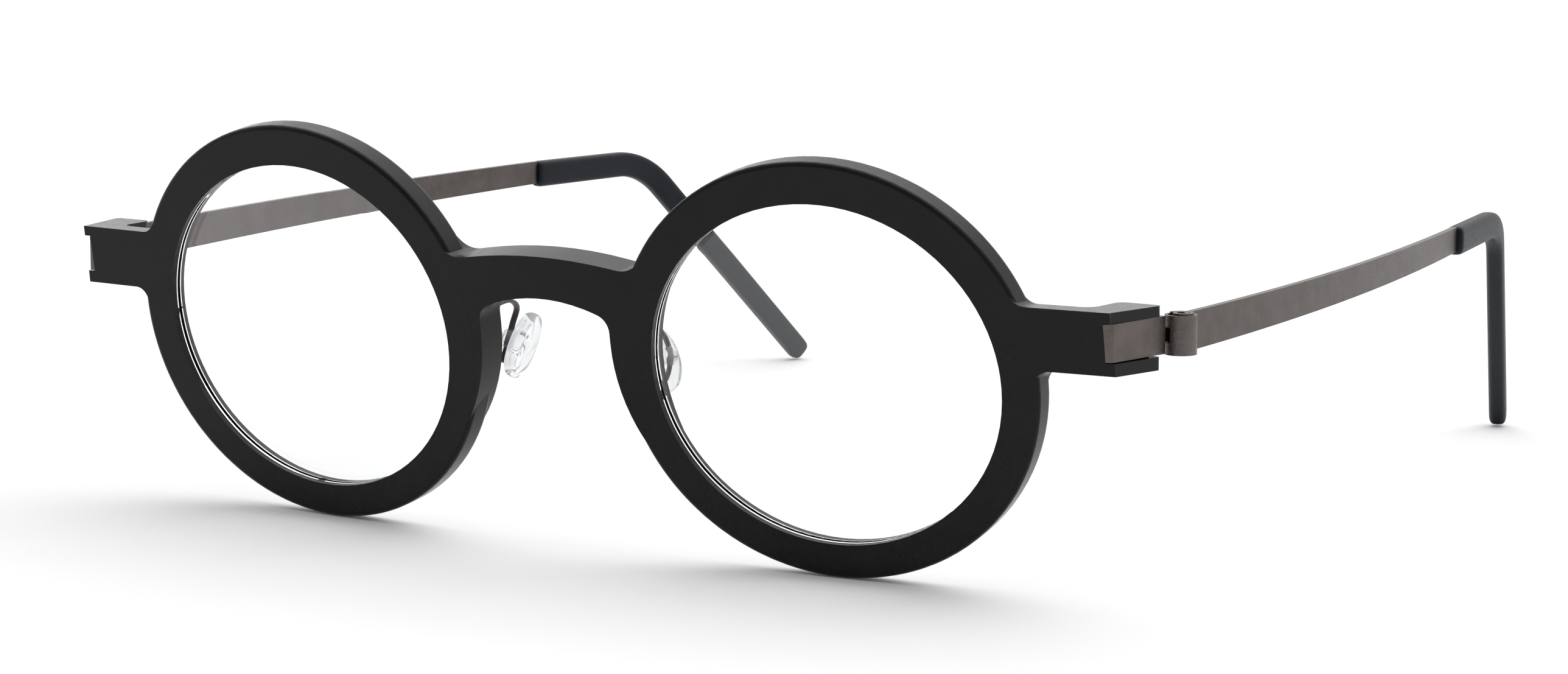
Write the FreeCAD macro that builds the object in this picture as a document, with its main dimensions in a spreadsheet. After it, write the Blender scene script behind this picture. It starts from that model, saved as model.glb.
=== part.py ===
import FreeCAD, Part
import math
import os

# Round acetate glasses with sheet-titanium temples.  Millimetres, +Z up, +X towards the
# wearer's left, -Y towards the front.  The glasses stand open on a table: rim bottoms and
# temple ends touch z = 0, and the origin is under the middle of the whole object.

Vector = FreeCAD.Vector
Rotation = FreeCAD.Rotation
Placement = FreeCAD.Placement

DIMENSIONS = [
    ("lens_centre_x", 34.63, "half the distance between lens centres"),
    ("face_lean", 9.8, "forward lean of the front, degrees"),
    ("face_wrap", 4.19, "each rim turns back by this angle, degrees"),
    ("opening_half_width", 21.0, "lens opening"),
    ("opening_half_height", 19.1, "lens opening"),
    ("rim_half_width", 25.2, "outside of the rim"),
    ("rim_half_height", 23.33, "outside of the rim"),
    ("rim_raise", 0.37, "rim outline sits this much above the opening centre"),
    ("rim_depth", 3.0, "front to back"),
    ("groove_depth", 0.5, "lens groove"),
    ("groove_setback", 1.6, "front face to groove apex"),
    ("lens_slack", 0.04, "gap between lens edge and rim"),
    ("lens_depth", 1.7, "lens thickness"),
    ("lens_sphere", 200.0, "front curve radius of the lens"),
    ("lens_crown", 0.35, "lens centre stands this far in front of the rim"),
    ("inset", 0.006, "bridge and end block faces sit this far inside the rim faces"),
    ("bridge_depth", 3.9, "front to back"),
    ("bridge_crest", 11.5, "top of the bridge at the middle"),
    ("bridge_arch", 6.6, "underside of the bridge at the middle"),
    ("end_low", 2.5, "underside of the end block"),
    ("end_high", 9.3, "top of the end block"),
    ("flare", 13.0, "end block side turns outward to the rear, degrees"),
    ("plate_low", 4.0, "lower edge of the end plate"),
    ("plate_high", 8.02, "upper edge of the end plate"),
    ("plate_gap", 0.12, "gap above and below the end plate in its channel"),
    ("plate_depth", 1.0, "thickness of the end plate"),
    ("hinge_x", 70.8, "hinge axis"),
    ("hinge_y", 12.7, "hinge axis"),
    ("barrel_low", 3.8, "lower end of the barrel"),
    ("barrel_tall", 4.2, "height of the barrel"),
    ("barrel_outer", 1.74, "outer radius"),
    ("barrel_inner", 1.38, "bore radius"),
    ("window_low", 5.05, "lower edge of the barrel window"),
    ("window_tall", 1.65, "height of the barrel window"),
    ("window_start", 92.0, "window start angle around the hinge axis"),
    ("window_sweep", 164.0, "window angle"),
    ("coil_radius", 1.34, "outer radius of the rolled hinge coil"),
    ("coil_sheet", 0.42, "sheet thickness of the coil"),
    ("coil_pitch", 0.52, "radius lost in each turn of the coil"),
    ("coil_proud", 0.2, "coil stands above the barrel"),
    ("strip_outer", 371.0, "outer bow radius of the temple strip"),
    ("strip_sheet", 0.75, "sheet thickness of the temple strip"),
    ("strip_bow_x", 71.75, "widest point of the strip"),
    ("strip_bow_y", 35.0, "widest point of the strip"),
    ("tip_start", 92.0, "front end of the rubber tip"),
    ("core_end", 107.0, "rear end of the strip inside the tip"),
    ("edge_round", 0.5, "rounding of the rim's outer edges"),
    ("tip_front_wide", 2.2, "rubber tip section at its front end"),
    ("tip_front_tall", 3.5, "rubber tip section at its front end"),
    ("tip_end_wide", 2.3, "rubber tip section at its lower end"),
    ("tip_end_tall", 3.0, "rubber tip section at its lower end"),
    ("tip_bend", 11.0, "bend radius behind the ear"),
    ("arm_wide", 0.7, "width of the pad arm"),
    ("arm_sheet", 0.4, "thickness of the pad arm"),
    ("pad_half_width", 3.05, "outline of the nose pad"),
    ("pad_half_height", 4.0, "outline of the nose pad"),
    ("pad_thick", 1.7, "thickness of the nose pad"),
    ("pad_round", 0.8, "rounding of the nose pad"),
    ("well_half_width", 2.05, "hollow in the outer side of the pad"),
    ("well_half_height", 2.9, "hollow in the outer side of the pad"),
    ("boss_radius", 1.1, "socket that holds the pad arm"),
    ("ground", -22.55, "table level below the lens centres"),
    ("middle_y", 67.58, "middle of the object behind the front face"),
]


def make_sheet(doc):
    sheet = doc.addObject("Spreadsheet::Sheet", "dims")
    for row, (alias, value, note) in enumerate(DIMENSIONS, start=1):
        sheet.set("A%d" % row, alias)
        sheet.set("B%d" % row, str(value))
        sheet.set("C%d" % row, note)
        sheet.setAlias("B%d" % row, alias)
    doc.recompute()
    return sheet


doc = FreeCAD.newDocument("round_glasses")
sheet = make_sheet(doc)


def dim(alias):
    return float(sheet.get(alias))


def bind(obj, **expressions):
    for path, expression in expressions.items():
        obj.setExpression(path.replace("__", "."), expression)
    return obj


HOME = Placement(Vector(0, -dim("middle_y"), -dim("ground")), Rotation())
LEAN = HOME * Placement(Vector(0, 0, 0), Rotation(Vector(1, 0, 0), dim("face_lean")))
ON_FACE = Rotation(Vector(1, 0, 0), 90)
SIDES = {"left": 1, "right": -1}


def rim_frame(side):
    """Frame of one rim: origin at the lens centre on the front face, y pointing back."""
    turn = Rotation(Vector(0, 0, 1), side * dim("face_wrap"))
    return LEAN * Placement(Vector(side * dim("lens_centre_x"), 0, 0), turn)


def rim_slope(x):
    """Depth of the bridge's front face at a distance x from the middle plane."""
    return (x - dim("lens_centre_x")) * math.tan(math.radians(dim("face_wrap"))) + dim("inset")


# ---------------------------------------------------------------- small helpers

def ellipse(name, wide, tall, frame, x=0.0, y=0.0, z=0.0):
    obj = doc.addObject("Part::Ellipse", name)
    bind(obj, MajorRadius=wide, MinorRadius=tall)
    obj.Placement = frame * Placement(Vector(x, y, z), ON_FACE)
    return obj


def extrude(name, base, direction, length, back="0"):
    obj = doc.addObject("Part::Extrusion", name)
    obj.Base = base
    obj.DirMode = "Custom"
    obj.Dir = direction
    obj.Solid = True
    return bind(obj, LengthFwd=length, LengthRev=back)


def corner_arc(before, corner, after, radius):
    """Start, middle and end of the tangent arc that rounds a corner."""
    backward = (before - corner).normalize()
    forward = (after - corner).normalize()
    half = backward.getAngle(forward) / 2.0
    reach = radius / math.tan(half)
    inward = (backward + forward).normalize()
    middle = corner + inward * (radius / math.sin(half) - radius)
    return corner + backward * reach, middle, corner + forward * reach


def rounded(corners):
    """Outline steps of a closed polygon; a corner (x, y, radius) is rounded."""
    points = [Vector(corner[0], corner[1], 0) for corner in corners]
    steps = []
    for number, corner in enumerate(corners):
        if len(corner) == 2:
            steps.append(corner)
            continue
        before, after = points[number - 1], points[(number + 1) % len(points)]
        start, middle, end = corner_arc(before, points[number], after, corner[2])
        steps.append((start.x, start.y))
        steps.append(((middle.x, middle.y), (end.x, end.y)))
    return steps


def outline(name, steps, placement):
    """Closed sketch; each step is (x, y) for a line or (mid, end) for an arc."""
    obj = doc.addObject("Sketcher::SketchObject", name)
    start = Vector(steps[0][0], steps[0][1], 0)
    here = start
    for step in steps[1:]:
        if isinstance(step[0], tuple):
            middle = Vector(step[0][0], step[0][1], 0)
            there = Vector(step[1][0], step[1][1], 0)
            obj.addGeometry(Part.Arc(here, middle, there), False)
        else:
            there = Vector(step[0], step[1], 0)
            obj.addGeometry(Part.LineSegment(here, there), False)
        here = there
    if (here - start).Length > 1e-9:
        obj.addGeometry(Part.LineSegment(here, start), False)
    obj.Placement = placement
    return obj


def loft(name, sections):
    obj = doc.addObject("Part::Loft", name)
    obj.Sections = sections
    obj.Solid = True
    obj.Ruled = True
    return obj


def fuse(name, shapes):
    obj = doc.addObject("Part::MultiFuse", name)
    obj.Refine = False
    obj.Shapes = shapes
    return obj


def common(name, shapes):
    obj = doc.addObject("Part::MultiCommon", name)
    obj.Shapes = shapes
    return obj


def cut(name, base, tools):
    """Take the tools away one after another."""
    for number, tool in enumerate(tools, start=1):
        step = name if number == len(tools) else "%s_step_%d" % (name, number)
        obj = doc.addObject("Part::Cut", step)
        obj.Refine = False
        obj.Base = base
        obj.Tool = tool
        base = obj
    return base


def softened(name, base, radius, chosen):
    """Round the edges that the test function picks."""
    doc.recompute()
    obj = doc.addObject("Part::Fillet", name)
    obj.Base = base
    size = dim(radius)
    obj.Edges = [(n, size, size) for n, edge in enumerate(base.Shape.Edges, 1) if chosen(edge)]
    return obj


def place(obj, x, y, z):
    """Bind the position of an object to expressions measured from the lens centre line."""
    return bind(obj, Placement__Base__x=x, Placement__Base__y=y + " - dims.middle_y",
                Placement__Base__z=z + " - dims.ground")


def cylinder(name, radius, height, x, y, z, angle="360", start=0.0):
    obj = doc.addObject("Part::Cylinder", name)
    bind(obj, Radius=radius, Height=height, Angle=angle)
    obj.Placement = Placement(Vector(0, 0, 0), Rotation(Vector(0, 0, 1), start))
    return place(obj, x, y, z)


def mirrored(points, side):
    """The same plan outline on either side of the middle plane."""
    result = []
    for point in points:
        if isinstance(point[0], tuple):
            result.append(tuple((side * x, y) for x, y in point))
        else:
            result.append((side * point[0], point[1]))
    return result


def behind_face(name, side):
    """Everything behind the front face of one rim."""
    obj = doc.addObject("Part::Box", name)
    obj.Length, obj.Width, obj.Height = 120, 60, 120
    obj.Placement = rim_frame(side) * Placement(Vector(-60, dim("inset"), -60), Rotation())
    return obj


# ---------------------------------------------------------------- front frame

def rim(side, tag):
    frame = rim_frame(side)
    edge = ellipse("rim_edge_" + tag, "dims.rim_half_width", "dims.rim_half_height",
                   frame, side * 0.1, 0, dim("rim_raise"))
    back = frame.Rotation.multVec(Vector(0, 1, 0))
    sharp = extrude("rim_" + tag, edge, back, "dims.rim_depth")
    return softened("rim_soft_" + tag, sharp, "edge_round", lambda edge: edge.Closed)


def bridge_outline(crest, arch):
    half = [
        (15.5, crest + 0.9), (14.0, crest + 0.9), (11.95, crest - 1.27, 3.0), (0, crest + 0.75, 57.0),
    ]
    under = [(0, arch + 1.45, 20.3), (8.68, 4.72, 2.1), (8.68, -4.41, 20.0), (13.0, -10.4), (15.5, -10.4)]
    top = half + [(-point[0],) + point[1:] for point in reversed(half[:-1])]
    low = [(-point[0],) + point[1:] for point in reversed(under[1:])] + under
    return rounded(top + low)


def bridge():
    face = LEAN * Placement(Vector(0, 0, 0), ON_FACE)
    front = outline("bridge_face", bridge_outline(dim("bridge_crest"), dim("bridge_arch")), face)
    back = LEAN.Rotation.multVec(Vector(0, 1, 0))
    up = LEAN.Rotation.multVec(Vector(0, 0, 1))
    slab = extrude("bridge_slab", front, back, "4 * dims.bridge_depth", "2 * dims.bridge_depth")
    fore = rim_slope(12.0)
    tip = fore - 12.0 * math.tan(math.radians(dim("face_wrap") / 2.0))
    rear = rim_slope(10.0) + dim("bridge_depth")
    rim_rear = rim_slope(16.0) + dim("rim_depth") - 0.15
    plan = outline("bridge_plan", [
        (-16.0, rim_slope(16.0)), (-12.0, fore), ((0, tip), (12.0, fore)), (16.0, rim_slope(16.0)),
        (16.0, rim_rear), ((13.25, rear - 0.15), (10.5, rear)), (-10.5, rear),
        ((-13.25, rear - 0.15), (-16.0, rim_rear)),
    ], LEAN)
    band = extrude("bridge_band", plan, up, "40", "40")
    return common("bridge", [slab, band])


def side_line(y, inset=0.0):
    """x of the outer side of the end block at depth y."""
    return 68.45 + (y - 0.92) * math.tan(math.radians(dim("flare"))) - inset


def end_block(side, tag):
    """Slab as deep as the rim, and an arm that carries the end plate back to the hinge."""
    low, high = dim("end_low"), dim("end_high")
    slab = doc.addObject("Part::Box", "end_slab_" + tag)
    slab.Length, slab.Height = 17, 40
    bind(slab, Width="dims.rim_depth - 2 * dims.inset")
    corner = Vector(17 if side > 0 else -34, dim("inset"), -20)
    slab.Placement = rim_frame(side) * Placement(corner, Rotation())
    face = outline("end_face_" + tag, mirrored(rounded([
        (53.0, high + 2.2), (56.2, high + 2.2), (58.1, high, 1.8), (75.0, high),
        (75.0, low), (59.9, low, 1.7), (59.15, low - 2.4), (53.0, low - 2.4),
    ]), side), HOME * Placement(Vector(0, -20, 0), ON_FACE))
    level = extrude("end_level_" + tag, face, Vector(0, 1, 0), "40")
    plan = outline("end_plan_" + tag, mirrored(rounded([
        (60.0, -4.0), (side_line(-3.0), -3.0), (side_line(9.35), 9.35, 0.6), (65.3, 9.35, 1.1),
        (65.0, 3.75, 1.6), (60.0, 3.35),
    ]), side), HOME * Placement(Vector(0, 0, low), Rotation()))
    arm = extrude("end_arm_" + tag, plan, Vector(0, 0, 1), "dims.end_high - dims.end_low")
    bar = common("end_bar_" + tag, [slab, level])
    whole = fuse("end_whole_" + tag, [bar, arm])
    return common("end_block_" + tag, [whole, behind_face("end_front_" + tag, side)])


def lens_hole(side, tag):
    frame = rim_frame(side)
    edge = ellipse("hole_edge_" + tag, "dims.opening_half_width", "dims.opening_half_height", frame)
    back = frame.Rotation.multVec(Vector(0, 1, 0))
    return extrude("hole_" + tag, edge, back, "12", "4")


def bevel(name, side, steps, slack):
    """Stack of ellipses along the rim axis; each step is (depth, growth)."""
    frame = rim_frame(side)
    rings = []
    for number, (depth, growth) in enumerate(steps):
        grow = "(%s) - %s" % (growth, slack)
        rings.append(ellipse("%s_ring_%d" % (name, number),
                             "dims.opening_half_width + " + grow,
                             "dims.opening_half_height + " + grow, frame, 0, depth, 0))
    return loft(name, rings)


def groove(side, tag):
    apex, depth = dim("groove_setback"), dim("groove_depth")
    return bevel("groove_" + tag, side, [
        (apex - depth - 0.02, "-0.02"), (apex, "dims.groove_depth"), (apex + depth + 0.02, "-0.02"),
    ], "0")


def plate_plan(name, side, extra, low):
    """Plan of the end plate; extra > 0 opens it outward into the channel cutter."""
    inner = dim("plate_depth")
    rear = 10.6
    steps = [
        (67.7, -2.0), (67.8, 1.15 - 3 * extra), (68.5 + 2 * extra, 2.0 - 3 * extra),
        (side_line(rear, 0.62) + 4 * extra, rear), (side_line(rear, 0.62 + inner), rear + 0.2),
        (67.7, 3.2),
    ]
    return outline(name, mirrored(steps, side), HOME * Placement(Vector(0, 0, low), Rotation()))


def channel(side, tag):
    plan = plate_plan("channel_plan_" + tag, side, 1.0, dim("plate_low") - dim("plate_gap"))
    return extrude("channel_" + tag, plan, Vector(0, 0, 1),
                   "dims.plate_high - dims.plate_low + 2 * dims.plate_gap")


def front_frame(arms):
    rims = [rim(side, tag) for tag, side in SIDES.items()]
    ends = [end_block(side, tag) for tag, side in SIDES.items()]
    tools = []
    for cutter in (lens_hole, groove, channel):
        tools += [cutter(side, tag) for tag, side in SIDES.items()]
    blank = fuse("frame_blank", [bridge()] + rims + ends)
    return cut("front_frame", blank, tools + arms)


# ---------------------------------------------------------------- lenses

def lens(side, tag):
    apex, depth = dim("groove_setback"), dim("groove_depth")
    disc = bevel("lens_disc_" + tag, side, [
        (-3.0, "0"), (apex - depth, "0"), (apex, "dims.groove_depth"), (apex + depth, "0"),
        (8.0, "0"),
    ], "dims.lens_slack")
    shells = []
    for name, radius in (("lens_ball_", "dims.lens_sphere"),
                         ("lens_hollow_", "dims.lens_sphere - dims.lens_depth")):
        ball = doc.addObject("Part::Sphere", name + tag)
        bind(ball, Radius=radius)
        centre = Vector(0, dim("lens_sphere") - dim("lens_crown"), 0)
        ball.Placement = rim_frame(side) * Placement(centre, Rotation())
        shells.append(ball)
    shell = cut("lens_shell_" + tag, shells[0], [shells[1]])
    return common("lens_" + tag, [disc, shell])


# ---------------------------------------------------------------- end plate and hinge

def end_plate(side, tag):
    plan = plate_plan("plate_plan_" + tag, side, 0.0, dim("plate_low"))
    blank = extrude("plate_raw_" + tag, plan, Vector(0, 0, 1), "dims.plate_high - dims.plate_low")
    return common("end_plate_" + tag, [blank, behind_face("plate_face_" + tag, side)])


def coil_plan(side, tag):
    """Sheet rolled one and a half turns around the hinge axis, with a straight tail."""
    outer, pitch = dim("coil_radius"), dim("coil_pitch")
    inner = outer - dim("coil_sheet")
    shift = pitch / 2.0
    tail = -3.3
    steps = [
        (-outer, tail), (-outer, 0), ((0, outer), (outer, 0)),
        ((shift, shift - outer), (pitch - outer, 0)),
        ((0, outer - pitch), (outer - pitch, 0)),
        (inner - pitch, 0), ((0, inner - pitch), (pitch - inner, 0)),
        ((shift, shift - inner), (inner, 0)),
        ((0, inner), (-inner, 0)), (-inner, tail),
    ]
    turn = Rotation(Vector(0, 0, 1), -side * dim("flare"))
    plan = outline("coil_plan_" + tag, mirrored(steps, side), Placement(Vector(0, 0, 0), turn))
    return place(plan, "%d * dims.hinge_x" % side, "dims.hinge_y", "dims.barrel_low")


def hinge_coil(side, tag):
    plan = coil_plan(side, tag)
    doc.recompute()
    roll = extrude("coil_raw_" + tag, plan, Vector(0, 0, 1), "dims.barrel_tall + dims.coil_proud")
    trims = []
    for name, level in (("coil_trim_low_", dim("barrel_low") - 5.0 + 1.32),
                        ("coil_trim_high_", dim("window_low") + dim("window_tall") - 0.07)):
        box = doc.addObject("Part::Box", name + tag)
        box.Length, box.Width, box.Height = 2.0, 6.0, 5.0
        corner = Vector(-2.75 if side > 0 else 0.75, -6.2, level - dim("barrel_low"))
        box.Placement = plan.Placement * Placement(corner, Rotation())
        trims.append(box)
    return cut("hinge_coil_" + tag, roll, trims)


def hinge_barrel(side, tag):
    x = "%d * dims.hinge_x" % side
    start, sweep = dim("window_start"), dim("window_sweep")
    if side < 0:
        start = 180.0 - start - sweep
    shell = cylinder("barrel_shell_" + tag, "dims.barrel_outer", "dims.barrel_tall",
                     x, "dims.hinge_y", "dims.barrel_low")
    bore = cylinder("barrel_bore_" + tag, "dims.barrel_inner", "dims.barrel_tall + 2",
                    x, "dims.hinge_y", "dims.barrel_low - 1")
    window = cylinder("barrel_window_" + tag, "dims.barrel_outer + 1", "dims.window_tall",
                      x, "dims.hinge_y", "dims.window_low", "dims.window_sweep", start)
    return cut("hinge_barrel_" + tag, shell, [bore, window])


# ---------------------------------------------------------------- temple

SIDE_VIEW = Rotation(Vector(1, 1, 1), 120)


def strip_profile(tag):
    start, rear = dim("tip_start"), dim("core_end")
    return outline("strip_profile_" + tag, [
        (13.3, 3.95), (13.3, 8.1), (60.0, 8.6), (start, 8.95), (start, 8.5), (rear, 8.4),
        (rear, 6.7), (start, 6.5), (start, 6.0),
    ], HOME * Placement(Vector(0, 0, 0), SIDE_VIEW))


def temple_strip(side, tag):
    x = "%d * (dims.strip_bow_x - dims.strip_outer)" % side
    y = "dims.strip_bow_y"
    outer = cylinder("strip_outer_" + tag, "dims.strip_outer", "20", x, y, "0")
    inner = cylinder("strip_inner_" + tag, "dims.strip_outer - dims.strip_sheet", "22", x, y, "-1")
    sheet_band = cut("strip_band_" + tag, outer, [inner])
    profile = extrude("strip_side_" + tag, strip_profile(tag), Vector(side, 0, 0), "90", "-40")
    blank = common("strip_blank_" + tag, [sheet_band, profile])
    seat = cylinder("strip_seat_" + tag, "dims.barrel_outer", "20",
                    "%d * dims.hinge_x" % side, "dims.hinge_y", "0")
    return cut("temple_strip_" + tag, blank, [seat])


def bent_path(first, corner, last, radius):
    """Straight, arc, straight: the corner is rounded to the given radius."""
    start, middle, end = corner_arc(first, corner, last, radius)
    return Part.Wire([
        Part.makeLine(first, start),
        Part.Arc(start, middle, end).toShape(),
        Part.makeLine(end, last),
    ])


def rounded_section(centre, across, along, wide, tall, corner):
    """Rounded rectangle in the plane through centre spanned by across and along."""
    a, b = wide / 2.0, tall / 2.0
    k = corner * (1.0 - math.sqrt(0.5))

    def at(u, v):
        return centre + across * u + along * v

    spots = [
        ((a, b - corner), (a - k, b - k), (a - corner, b)),
        ((-a + corner, b), (-a + k, b - k), (-a, b - corner)),
        ((-a, -b + corner), (-a + k, -b + k), (-a + corner, -b)),
        ((a - corner, -b), (a - k, -b + k), (a, -b + corner)),
    ]
    edges = []
    last = at(a, -b + corner)
    for begin, middle, end in spots:
        edges.append(Part.makeLine(last, at(*begin)))
        edges.append(Part.Arc(at(*begin), at(*middle), at(*end)).toShape())
        last = at(*end)
    return Part.Wire(edges)


def swept(path, sections):
    shell = Part.BRepOffsetAPI.MakePipeShell(path)
    for section in sections:
        shell.add(section, False, False)
    shell.build()
    shell.makeSolid()
    return shell.shape()


def temple_tip(side, tag, strip):
    start = dim("tip_start")
    first = Vector(side * 67.0, start, 7.25)
    corner = Vector(side * 63.45, 112.5, 7.3)
    last = Vector(side * 53.5, 138.6, -21.8)
    path = bent_path(first, corner, last, dim("tip_bend"))
    ahead = (corner - first).normalize()
    across = ahead.cross(Vector(0, 0, 1)).normalize()
    front = rounded_section(first, across, across.cross(ahead).normalize(),
                            dim("tip_front_wide"), dim("tip_front_tall"), 0.75)
    down = (last - corner).normalize()
    across = down.cross(Vector(0, 0, 1)).normalize()
    rear = rounded_section(last, across, across.cross(down).normalize(),
                           dim("tip_end_wide"), dim("tip_end_tall"), 0.9)
    solid = swept(path, [front, rear])
    ends = [edge for edge in solid.Edges
            if (edge.CenterOfMass - last).Length < 1.8 and edge.Length < 3.5
            and abs((edge.Vertexes[0].Point - last).dot(down)) < 1e-3
            and abs((edge.Vertexes[-1].Point - last).dot(down)) < 1e-3]
    solid = solid.makeFillet(0.7, ends)
    obj = doc.addObject("Part::Feature", "tip_solid_" + tag)
    obj.Shape = solid
    obj.Placement = HOME
    return cut("temple_tip_" + tag, obj, [strip])


# ---------------------------------------------------------------- nose pads

def pad_frame(side):
    """Pad centre; x runs up the pad, z points away from the nose."""
    up = Vector(-side * 0.342, 0, 0.94)
    rear = Vector(side * 0.208, 0.978, 0)
    away = Vector(side * 0.919, -0.196, 0.334)
    return HOME * Placement(Vector(side * 9.4, 6.9, -0.95), Rotation(up, rear, away, "XZY"))


def pad_arm(side, tag):
    spots = [(8.95, -0.3, 4.15), (8.9, 1.2, 4.35), (8.75, 3.4, 4.55), (9.1, 5.3, 3.7),
             (10.4, 6.6, 1.9), (11.2, 6.6, -0.7), (11.25, 5.6, -2.9)]
    curve = Part.BSplineCurve()
    curve.interpolate([Vector(side * x, y, z) for x, y, z in spots])
    path = Part.Wire([curve.toShape()])
    ahead = curve.tangent(curve.FirstParameter)[0]
    across = Vector(1, 0, 0)
    across = (across - ahead * across.dot(ahead)).normalize()
    section = rounded_section(Vector(side * 8.95, -0.3, 4.15), across,
                              across.cross(ahead).normalize(), dim("arm_wide"), dim("arm_sheet"), 0.12)
    obj = doc.addObject("Part::Feature", "pad_arm_" + tag)
    obj.Shape = swept(path, [section])
    obj.Placement = HOME
    return obj


def nose_pad(side, tag, arm):
    frame = pad_frame(side)
    away = frame.Rotation.multVec(Vector(0, 0, 1))

    def oval(name, tall, wide, level):
        obj = doc.addObject("Part::Ellipse", name + tag)
        bind(obj, MajorRadius=tall, MinorRadius=wide)
        obj.Placement = frame * Placement(Vector(0, 0, level), Rotation())
        return obj

    edge = oval("pad_edge_", "dims.pad_half_height", "dims.pad_half_width", -dim("pad_thick") / 2.0)
    plate = extrude("pad_plate_" + tag, edge, away, "dims.pad_thick")
    soft = softened("pad_soft_" + tag, plate, "pad_round", lambda curve: curve.Closed)
    well = oval("pad_well_", "dims.well_half_height", "dims.well_half_width", 0.35)
    dish = extrude("pad_dish_" + tag, well, away, "2")
    boss = doc.addObject("Part::Cylinder", "pad_boss_" + tag)
    bind(boss, Radius="dims.boss_radius", Height="2.6")
    boss.Placement = frame * Placement(Vector(-0.1, -0.1, 0.1), Rotation())
    body = fuse("pad_body_" + tag, [cut("pad_shell_" + tag, soft, [dish]), boss])
    return cut("nose_pad_" + tag, body, [arm])


# ---------------------------------------------------------------- assembly

def build():
    parts = {}
    arms = {tag: pad_arm(side, tag) for tag, side in SIDES.items()}
    parts["front_frame"] = front_frame(list(arms.values()))
    for tag, side in SIDES.items():
        parts["lens_" + tag] = lens(side, tag)
        coil = hinge_coil(side, tag)
        plate = end_plate(side, tag)
        parts["end_plate_" + tag] = cut("end_plate_cut_" + tag, plate, [coil])
        parts["hinge_coil_" + tag] = coil
        parts["hinge_barrel_" + tag] = hinge_barrel(side, tag)
        strip = temple_strip(side, tag)
        parts["temple_strip_" + tag] = strip
        parts["temple_tip_" + tag] = temple_tip(side, tag, strip)
        parts["pad_arm_" + tag] = arms[tag]
        parts["nose_pad_" + tag] = nose_pad(side, tag, arms[tag])
    doc.recompute()
    return parts


def export(parts):
    os.makedirs("parts", exist_ok=True)
    for obj in doc.Objects:
        if "Invalid" in obj.State or "Error" in obj.State:
            raise RuntimeError("%s did not build" % obj.Name)
    for label, obj in parts.items():
        obj.Label = label
        shape = obj.Shape
        if shape.isNull() or not shape.isValid():
            raise RuntimeError("%s is not a valid solid" % label)
        box = shape.BoundBox
        print("%-22s solids %d volume %.2f x %.2f..%.2f y %.2f..%.2f z %.2f..%.2f" % (
            label, len(shape.Solids), shape.Volume,
            box.XMin, box.XMax, box.YMin, box.YMax, box.ZMin, box.ZMax))
        shape.exportStep("parts/%s.step" % label)


export(build())
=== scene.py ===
import math

import bmesh
import bpy
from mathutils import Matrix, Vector


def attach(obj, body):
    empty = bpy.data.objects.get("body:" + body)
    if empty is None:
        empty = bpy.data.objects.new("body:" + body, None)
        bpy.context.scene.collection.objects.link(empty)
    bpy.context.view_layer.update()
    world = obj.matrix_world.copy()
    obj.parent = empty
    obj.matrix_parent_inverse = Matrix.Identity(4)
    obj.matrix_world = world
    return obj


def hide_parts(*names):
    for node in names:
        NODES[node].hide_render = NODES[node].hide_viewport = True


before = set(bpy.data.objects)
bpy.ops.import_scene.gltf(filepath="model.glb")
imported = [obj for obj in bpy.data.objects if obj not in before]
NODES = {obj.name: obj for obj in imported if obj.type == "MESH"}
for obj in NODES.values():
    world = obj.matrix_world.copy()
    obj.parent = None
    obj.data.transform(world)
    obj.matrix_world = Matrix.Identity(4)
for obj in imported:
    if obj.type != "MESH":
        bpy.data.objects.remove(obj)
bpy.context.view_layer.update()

MM = 0.001
SIDES = {"left": 1, "right": -1}

# Millimetres from the lens centre line back to the object's middle, and down to the table.
MIDDLE_Y = 67.58
LENS_HEIGHT = 22.55


# ---------------------------------------------------------------- node materials
# Textures use object coordinates in metres, so a scale of 1000 is one cell to a millimetre.
# Colours are linear red, green and blue, and bump distances are in metres.

MIX_SHARE, MIX_FIRST, MIX_SECOND = 0, 6, 7      # sockets of the Mix node, for colours
MIX_RESULT = 2
METAL_DARKER, METAL_LIGHTER = 0.86, 1.14        # range of a metal's tone


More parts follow.
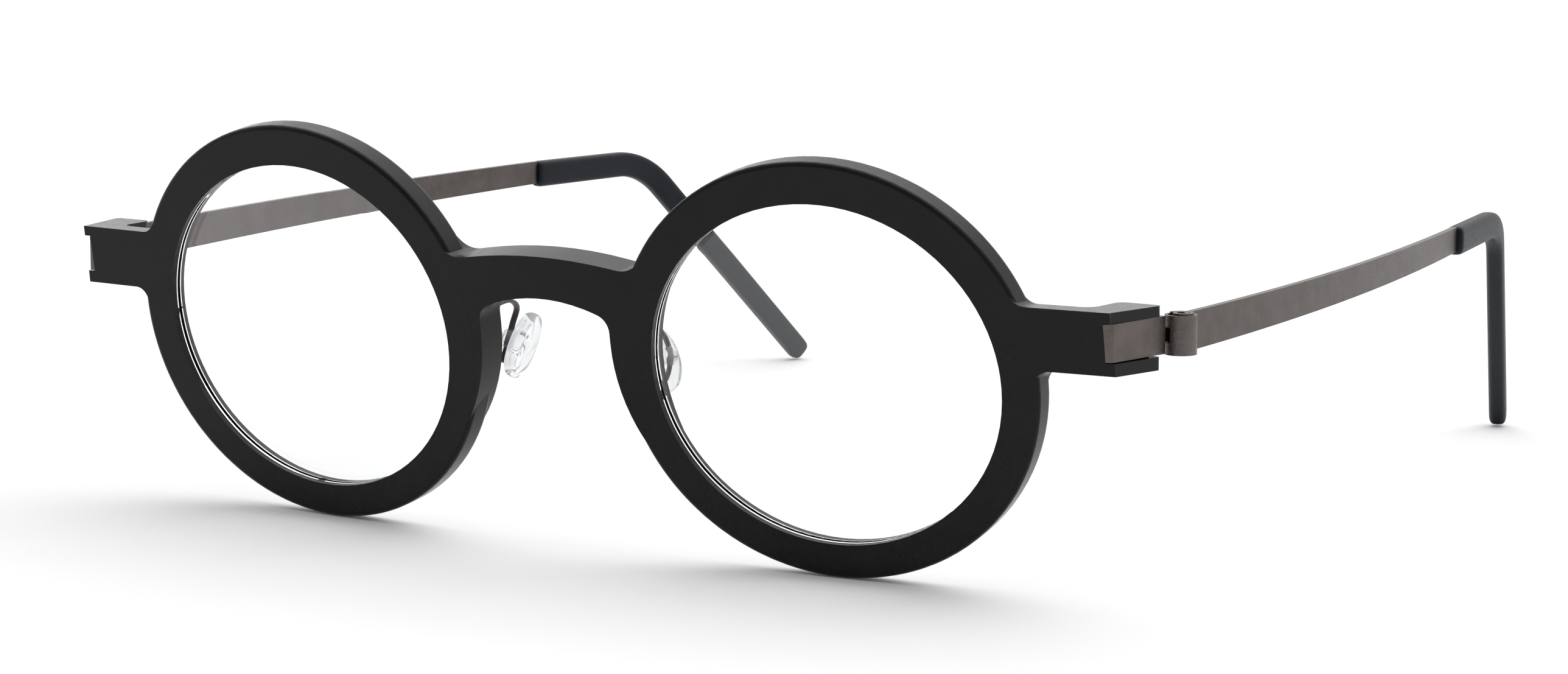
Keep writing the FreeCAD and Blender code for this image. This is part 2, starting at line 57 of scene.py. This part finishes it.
class Surface:
    """A procedural material: a Principled shader with helpers for its nodes."""

    def __init__(self, name, **inputs):
        self.material = bpy.data.materials.new(name)
        self.material.use_nodes = True
        self.tree = self.material.node_tree
        self.shader = self.tree.nodes["Principled BSDF"]
        for key, value in inputs.items():
            self.shader.inputs[key.replace("_", " ")].default_value = value
        self.where = self.tree.nodes.new("ShaderNodeTexCoord").outputs["Object"]

    def node(self, kind, **values):
        made = self.tree.nodes.new(kind)
        for key, value in values.items():
            setattr(made, key, value)
        return made

    def link(self, source, target):
        self.tree.links.new(source, target)

    def stretched(self, x, y, z):
        """Object coordinates scaled along each axis."""
        mapping = self.node("ShaderNodeMapping")
        mapping.inputs["Scale"].default_value = (x, y, z)
        self.link(self.where, mapping.inputs["Vector"])
        return mapping.outputs["Vector"]

    def noise(self, scale, detail=4.0, rough=0.55, where=None):
        made = self.node("ShaderNodeTexNoise")
        made.inputs["Scale"].default_value = scale
        made.inputs["Detail"].default_value = detail
        made.inputs["Roughness"].default_value = rough
        self.link(where or self.where, made.inputs["Vector"])
        return made.outputs["Fac"]

    def cells(self, scale):
        made = self.node("ShaderNodeTexVoronoi")
        made.inputs["Scale"].default_value = scale
        self.link(self.where, made.inputs["Vector"])
        return made.outputs["Distance"]

    def summed(self, first, second, share):
        """first plus share times second."""
        made = self.node("ShaderNodeMath", operation="MULTIPLY_ADD")
        made.inputs[1].default_value = share
        self.link(second, made.inputs[0])
        self.link(first, made.inputs[2])
        return made.outputs["Value"]

    def spread(self, source, low, high, start=0.3, end=0.7):
        """source from start to end, as a value from low to high."""
        made = self.node("ShaderNodeMapRange")
        made.inputs["From Min"].default_value = start
        made.inputs["From Max"].default_value = end
        made.inputs["To Min"].default_value = low
        made.inputs["To Max"].default_value = high
        self.link(source, made.inputs["Value"])
        return made.outputs["Result"]

    def tones(self, source, dark, light, start=0.3, end=0.7):
        """source from start to end, as a colour from dark to light."""
        made = self.node("ShaderNodeValToRGB")
        stops = ((start, dark), (end, light))
        for element, (place, colour) in zip(made.color_ramp.elements, stops):
            element.position = place
            element.color = (*colour, 1.0)
        self.link(source, made.inputs["Fac"])
        return made.outputs["Color"]

    def blend(self, colour, other, share):
        """colour where share is 0, and the fixed colour other where it is 1."""
        made = self.node("ShaderNodeMix", data_type="RGBA")
        self.link(share, made.inputs[MIX_SHARE])
        self.link(colour, made.inputs[MIX_FIRST])
        made.inputs[MIX_SECOND].default_value = (*other, 1.0)
        return made.outputs[MIX_RESULT]

    def bump(self, height, strength, distance):
        made = self.node("ShaderNodeBump")
        made.inputs["Strength"].default_value = strength
        made.inputs["Distance"].default_value = distance
        self.link(height, made.inputs["Height"])
        self.feed("Normal", made.outputs["Normal"])

    def feed(self, name, source):
        self.link(source, self.shader.inputs[name])


def acetate():
    """Black acetate: a faint cloud in its tone, fine grain, rubbed streaks and specks of dust."""
    s = Surface("black_acetate", Specular_IOR_Level=0.17)
    cloud = s.noise(scale=240.0, detail=3.0)
    grain = s.noise(scale=5200.0, detail=3.0, rough=0.7)
    rub = s.noise(scale=900.0, detail=5.0, rough=0.6, where=s.stretched(1.0, 1.0, 0.25))
    dust = s.spread(s.cells(scale=1500.0), low=1.0, high=0.0, start=0.02, end=0.05)
    base = s.tones(cloud, dark=(0.0040, 0.0041, 0.0048), light=(0.0062, 0.0062, 0.0072))
    s.feed("Base Color", s.blend(base, (0.05, 0.05, 0.05), dust))
    s.feed("Roughness", s.spread(s.summed(grain, rub, 0.8), low=0.17, high=0.30, start=0.6, end=1.2))
    s.bump(s.summed(grain, rub, 0.5), strength=0.03, distance=0.00004)
    return s.material


def titanium(name, tone, grain_scale, relief, rough):
    """Matte sheet metal: mottled tone, with grain and flecks in its relief."""
    s = Surface(name, Metallic=1.0)
    grain = s.noise(grain_scale, detail=5.0, rough=0.65)
    fleck = s.cells(grain_scale * 0.55)
    cloud = s.noise(scale=420.0, detail=2.0)
    dark = tuple(METAL_DARKER * c for c in tone)
    light = tuple(METAL_LIGHTER * c for c in tone)
    s.feed("Base Color", s.tones(s.summed(cloud, grain, 0.5), dark, light, start=0.5, end=0.95))
    s.feed("Roughness", s.spread(grain, low=rough - 0.08, high=rough + 0.10))
    s.bump(s.summed(grain, fleck, 0.5), strength=relief, distance=0.00008)
    return s.material


def rubber():
    """Black moulded rubber with a bluish tone and a fine matte grain."""
    s = Surface("black_rubber", Specular_IOR_Level=0.2)
    cloud = s.noise(scale=300.0, detail=3.0)
    grain = s.noise(scale=3800.0, detail=4.0, rough=0.7)
    s.feed("Base Color", s.tones(cloud, dark=(0.0030, 0.0046, 0.0080),
                                 light=(0.0050, 0.0076, 0.0125)))
    s.feed("Roughness", s.spread(grain, low=0.34, high=0.52))
    s.bump(s.summed(grain, cloud, 0.5), strength=0.12, distance=0.00005)
    return s.material


def silicone():
    """Clear soft silicone, slightly cloudy. Its IOR is low, which keeps the pads pale."""
    s = Surface("clear_silicone", Roughness=0.12, IOR=1.22, Transmission_Weight=0.86)
    cloud = s.noise(scale=700.0, detail=2.0)
    s.feed("Base Color", s.tones(cloud, dark=(0.90, 0.92, 0.94), light=(0.97, 0.98, 0.99)))
    s.feed("Roughness", s.spread(cloud, low=0.08, high=0.18))
    s.bump(cloud, strength=0.05, distance=0.0001)
    return s.material


def lens_glass():
    """Clear lens with faint smears."""
    s = Surface("clear_lens", Roughness=0.0, IOR=1.5, Transmission_Weight=1.0)
    cloud = s.noise(scale=60.0, detail=1.0)
    s.feed("Base Color", s.tones(cloud, dark=(0.985, 0.99, 0.99), light=(0.995, 0.997, 0.997)))
    smear = s.noise(scale=900.0, detail=3.0)
    s.feed("Roughness", s.spread(smear, low=0.0, high=0.010, start=0.55, end=0.8))
    return s.material


def floor_paint():
    """Pale matte studio floor."""
    s = Surface("studio_floor", Specular_IOR_Level=0.1)
    cloud = s.noise(scale=8.0, detail=3.0)
    s.feed("Base Color", s.tones(cloud, dark=(0.90, 0.90, 0.90), light=(0.925, 0.925, 0.925)))
    s.feed("Roughness", s.spread(s.noise(scale=60.0), low=0.7, high=0.85))
    return s.material


def wear(obj, material):
    obj.data.materials.clear()
    obj.data.materials.append(material)


def make_looks():
    """The material of each kind of CAD node."""
    plain = titanium("satin_titanium", tone=(0.100, 0.087, 0.082),
                     grain_scale=5200.0, relief=0.22, rough=0.36)
    plate = titanium("plate_titanium", tone=(0.120, 0.103, 0.096),
                     grain_scale=5200.0, relief=0.22, rough=0.34)
    blasted = titanium("blasted_titanium", tone=(0.132, 0.117, 0.110),
                       grain_scale=3000.0, relief=0.60, rough=0.42)
    return {
        "front_frame": acetate(), "lens": lens_glass(), "end_plate": plate,
        "hinge_coil": blasted, "hinge_barrel": blasted, "temple_strip": plain,
        "temple_tip": rubber(), "pad_arm": plain, "nose_pad": silicone(),
    }


def dress_nodes(looks):
    for name, obj in NODES.items():
        kind = name
        for side in SIDES:
            kind = kind.replace("_" + side, "")
        for slot in obj.material_slots:
            slot.material = looks[kind]


EDGE_WIDTH = 0.22 * MM
EDGE_SEGMENTS = 2
EDGE_ANGLE = 38.0       # degrees between two faces' normals, above which their edge is rounded


def soften_edges(obj):
    """Small rounding of the sharp edges of a carried-over node."""
    modifier = obj.modifiers.new("soft_edges", "BEVEL")
    modifier.width = EDGE_WIDTH
    modifier.segments = EDGE_SEGMENTS
    modifier.limit_method = "ANGLE"
    modifier.angle_limit = math.radians(EDGE_ANGLE)
    modifier.use_clamp_overlap = False
    modifier.harden_normals = True


# ---------------------------------------------------------------- soft pieces
# Sizes and places are in millimetres from the lens centre line, on the wearer's left.

def at(x, y, z):
    """A point given from the lens centre line, in millimetres, as a point in the scene."""
    return Vector((x, y - MIDDLE_Y, z + LENS_HEIGHT)) * MM


def mirrored(point, side):
    """The point, or direction, on the given side."""
    x, y, z = point
    return (side * x, y, z)


def around(steps):
    """Cosine and sine at equal steps around a circle."""
    for n in range(steps):
        turn = 2.0 * math.pi * n / steps
        yield math.cos(turn), math.sin(turn)


def skinned(name, rings):
    """Mesh through rings of points, with a fan at either end."""
    built = bmesh.new()
    rows = [[built.verts.new(point) for point in ring] for ring in rings]
    count = len(rows[0])
    for low, high in zip(rows, rows[1:]):
        for n in range(count):
            m = (n + 1) % count
            built.faces.new((low[n], low[m], high[m], high[n]))
    for row in (rows[0], rows[-1]):
        middle = sum((v.co for v in row), Vector()) / count
        hub = built.verts.new(middle)
        for n in range(count):
            built.faces.new((row[n], row[(n + 1) % count], hub))
    bmesh.ops.recalc_face_normals(built, faces=built.faces)
    mesh = bpy.data.meshes.new(name)
    built.to_mesh(mesh)
    built.free()
    mesh.polygons.foreach_set("use_smooth", [True] * len(mesh.polygons))
    obj = bpy.data.objects.new(name, mesh)
    bpy.context.scene.collection.objects.link(obj)
    return obj


def smoothed(obj, levels):
    modifier = obj.modifiers.new("smooth", "SUBSURF")
    modifier.levels = levels
    modifier.render_levels = levels


PAD_STEPS = 48
PAD_LEVELS = 2
PAD_CENTRE = (9.4, 6.9, -0.95)
PAD_UP = (-0.342, 0.0, 0.94)            # along the pad, leaning inward to the top
PAD_AWAY = (0.919, -0.196, 0.334)       # away from the nose

PAD_RINGS = [
    # half height, half width, distance away from the nose
    (0.7, 0.52, -0.54), (1.6, 1.2, -0.56), (2.5, 1.88, -0.63), (3.2, 2.42, -0.75),
    (3.62, 2.72, -0.81), (3.87, 2.92, -0.67), (3.97, 3.02, -0.36), (3.97, 3.02, 0.10),
    (3.90, 2.95, 0.45), (3.68, 2.76, 0.72), (3.38, 2.50, 0.82), (3.10, 2.24, 0.78),
    (2.92, 2.10, 0.60), (2.80, 2.00, 0.40), (2.45, 1.76, 0.32), (1.90, 1.45, 0.32),
    (1.30, 1.22, 0.40), (1.12, 1.12, 0.80), (1.09, 1.09, 1.60), (1.06, 1.06, 2.25),
    (0.94, 0.94, 2.53), (0.62, 0.62, 2.64),
]


def nose_pad(tag, side, look):
    """Silicone pad: a crowned face to the nose, a hollow behind it and a socket for the arm."""
    up = Vector(mirrored(PAD_UP, side)).normalized()
    away = Vector(mirrored(PAD_AWAY, side))
    away = (away - up * away.dot(up)).normalized()
    rear = away.cross(up)
    centre = at(*mirrored(PAD_CENTRE, side))
    rings = []
    for tall, wide, level in PAD_RINGS:
        ring = [centre + (up * (tall * c) + rear * (wide * s) + away * level) * MM
                for c, s in around(PAD_STEPS)]
        rings.append(ring)
    obj = skinned("silicone_pad_" + tag, rings)
    smoothed(obj, PAD_LEVELS)
    wear(obj, look)
    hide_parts("nose_pad_" + tag)
    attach(obj, "front")


TIP_STEPS = 28
TIP_LEVELS = 1
TIP_FRONT = (67.0, 92.0, 7.25)
TIP_CORNER = (63.45, 112.5, 7.3)        # where the two straight runs would meet
TIP_END = (53.5, 138.6, -21.8)
TIP_BEND = 11.0                         # radius of the bend at the corner
RUN_PARTS, BEND_PARTS, FALL_PARTS = 10, 15, 14
TIP_WIDE, TIP_WIDENS = 2.2, 0.1         # width at the front, and how much it gains
TIP_TALL, TIP_NARROWS = 3.5, 0.5        # height at the front, and how much it loses
TIP_SQUARE = 3.4                        # 2 is an ellipse, and more is nearer to a rectangle
TIP_MOUTH = [(0.0, 0.74), (0.10, 0.87), (0.30, 0.965), (0.6, 1.0)]
TIP_FOOT = [(1.25, 1.0), (0.8, 0.975), (0.4, 0.90), (0.14, 0.76), (0.0, 0.55)]
MOUTH_CLEAR, FOOT_CLEAR = 0.8, 1.5      # no plain ring this near to either end
SAME_PLACE = 1e-6


def tip_line(side):
    """Points along the middle of the tip: straight, bend, straight."""
    first, corner, last = (Vector(mirrored(p, side)) for p in (TIP_FRONT, TIP_CORNER, TIP_END))
    backward = (first - corner).normalized()
    forward = (last - corner).normalized()
    half = backward.angle(forward) / 2.0
    reach = TIP_BEND / math.tan(half)
    inward = (backward + forward).normalized()
    centre = corner + inward * (TIP_BEND / math.sin(half))
    start, end = corner + backward * reach, corner + forward * reach
    first_spoke = (start - centre).normalized()
    last_spoke = (end - centre).normalized()
    spine = [first.lerp(start, n / RUN_PARTS) for n in range(RUN_PARTS + 1)]
    for n in range(1, BEND_PARTS + 1):
        spine.append(centre + first_spoke.slerp(last_spoke, n / BEND_PARTS) * TIP_BEND)
    spine += [end.lerp(last, n / FALL_PARTS) for n in range(1, FALL_PARTS + 1)]
    return spine


def tip_stations(lengths):
    """Distance along the tip and share of the full section for each ring, rounded at the ends."""
    total = lengths[-1]
    stations = list(TIP_MOUTH)
    stations += [(value, 1.0) for value in lengths if MOUTH_CLEAR < value < total - FOOT_CLEAR]
    stations += [(total - gap, scale) for gap, scale in TIP_FOOT]
    return stations


def squared(value):
    """Pushes a circle's cosine or sine outward, towards a rectangle with round corners."""
    return math.copysign(abs(value) ** (2.0 / TIP_SQUARE), value)


def tip_ring(spine, lengths, place, scale):
    """One ring of the tip, square to its line at the given distance along it."""
    number = max(n for n, value in enumerate(lengths) if value <= place + SAME_PLACE)
    number = min(number, len(spine) - 2)
    share = (place - lengths[number]) / (lengths[number + 1] - lengths[number])
    point = spine[number].lerp(spine[number + 1], share)
    before = spine[max(number - 1, 0)]
    after = spine[min(number + 2, len(spine) - 1)]
    ahead = (after - before).normalized()
    across = ahead.cross(Vector((0, 0, 1))).normalized()
    above = across.cross(ahead).normalized()
    progress = place / lengths[-1]
    wide = (TIP_WIDE + TIP_WIDENS * progress) / 2.0 * scale
    tall = (TIP_TALL - TIP_NARROWS * progress) / 2.0 * scale
    ring = []
    for c, s in around(TIP_STEPS):
        spot = point + across * (squared(c) * wide) + above * (squared(s) * tall)
        ring.append(at(*spot))
    return ring


def temple_tip(tag, side, look):
    """Rubber tip: one moulded sleeve that bends down behind the ear."""
    spine = tip_line(side)
    lengths = [0.0]
    for near, far in zip(spine, spine[1:]):
        lengths.append(lengths[-1] + (far - near).length)
    rings = [tip_ring(spine, lengths, place, scale) for place, scale in tip_stations(lengths)]
    obj = skinned("rubber_tip_" + tag, rings)
    smoothed(obj, TIP_LEVELS)
    wear(obj, look)
    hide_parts("temple_tip_" + tag)
    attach(obj, "temple_" + tag)


# ---------------------------------------------------------------- studio
# Places and sizes are in metres, and angles in degrees.

CAMERA_PLACE = (0.28822, -0.48407, 0.09755)
CAMERA_TURN = (81.471, -0.178, 31.844)
CAMERA_LENS, CAMERA_SENSOR = 105.96, 36.0       # millimetres
CAMERA_SHIFT = (-0.0006, 0.0141)
CAMERA_NEAR = 0.01

WHITE = (1.0, 1.0, 1.0, 1.0)
SKY_SPAN = (-0.9, 0.7)          # from ahead of the glasses to behind them
SKY_LIGHT = (0.35, 1.15)        # strength at either end of that span
SEEN_LIGHT = 1.0                # strength that the camera sees
FLOOR_REACH = 6.0
FLOOR_LEVEL = -0.0001           # just under the table level, so that nothing touches it


def camera():
    data = bpy.data.cameras.new("main_camera")
    data.lens = CAMERA_LENS
    data.sensor_width = CAMERA_SENSOR
    data.sensor_fit = "HORIZONTAL"
    data.shift_x, data.shift_y = CAMERA_SHIFT
    data.clip_start = CAMERA_NEAR
    obj = bpy.data.objects.new("main_camera", data)
    obj.location = CAMERA_PLACE
    obj.rotation_euler = tuple(math.radians(a) for a in CAMERA_TURN)
    bpy.context.scene.collection.objects.link(obj)
    bpy.context.scene.camera = obj


def area(name, place, aim, size, power):
    data = bpy.data.lights.new(name, "AREA")
    data.shape = "RECTANGLE"
    data.size, data.size_y = size
    data.energy = power
    obj = bpy.data.objects.new(name, data)
    obj.location = place
    obj.rotation_euler = (Vector(aim) - Vector(place)).to_track_quat("-Z", "Y").to_euler()
    bpy.context.scene.collection.objects.link(obj)


def sky():
    """Soft studio surround: brighter behind the glasses, plain white to the camera."""
    world = bpy.data.worlds.new("studio_world")
    bpy.context.scene.world = world
    world.use_nodes = True
    nodes, links = world.node_tree.nodes, world.node_tree.links
    where = nodes.new("ShaderNodeTexCoord")
    split = nodes.new("ShaderNodeSeparateXYZ")
    links.new(where.outputs["Generated"], split.inputs["Vector"])
    depth = nodes.new("ShaderNodeMapRange")
    depth.inputs["From Min"].default_value, depth.inputs["From Max"].default_value = SKY_SPAN
    depth.inputs["To Min"].default_value, depth.inputs["To Max"].default_value = SKY_LIGHT
    links.new(split.outputs["Y"], depth.inputs["Value"])
    back = nodes["Background"]
    back.inputs["Color"].default_value = WHITE
    links.new(depth.outputs["Result"], back.inputs["Strength"])
    seen = nodes.new("ShaderNodeBackground")
    seen.inputs["Color"].default_value = WHITE
    seen.inputs["Strength"].default_value = SEEN_LIGHT
    path = nodes.new("ShaderNodeLightPath")
    mix = nodes.new("ShaderNodeMixShader")
    links.new(path.outputs["Is Camera Ray"], mix.inputs["Fac"])
    links.new(back.outputs["Background"], mix.inputs[1])
    links.new(seen.outputs["Background"], mix.inputs[2])
    links.new(mix.outputs["Shader"], nodes["World Output"].inputs["Surface"])


def studio():
    sky()
    mesh = bpy.data.meshes.new("studio_floor")
    built = bmesh.new()
    bmesh.ops.create_grid(built, x_segments=1, y_segments=1, size=FLOOR_REACH)
    built.to_mesh(mesh)
    built.free()
    floor = bpy.data.objects.new("studio_floor", mesh)
    floor.location = (0, 0, FLOOR_LEVEL)
    bpy.context.scene.collection.objects.link(floor)
    wear(floor, floor_paint())
    area("top_soft", place=(0.0, 0.25, 0.9), aim=(0, 0, 0), size=(1.6, 1.2), power=6.5)
    bpy.context.scene.view_settings.view_transform = "Standard"


LOOKS = make_looks()
dress_nodes(LOOKS)
soften_edges(NODES["front_frame"])
for tag, side in SIDES.items():
    nose_pad(tag, side, LOOKS["nose_pad"])
    temple_tip(tag, side, LOOKS["temple_tip"])
camera()
studio()
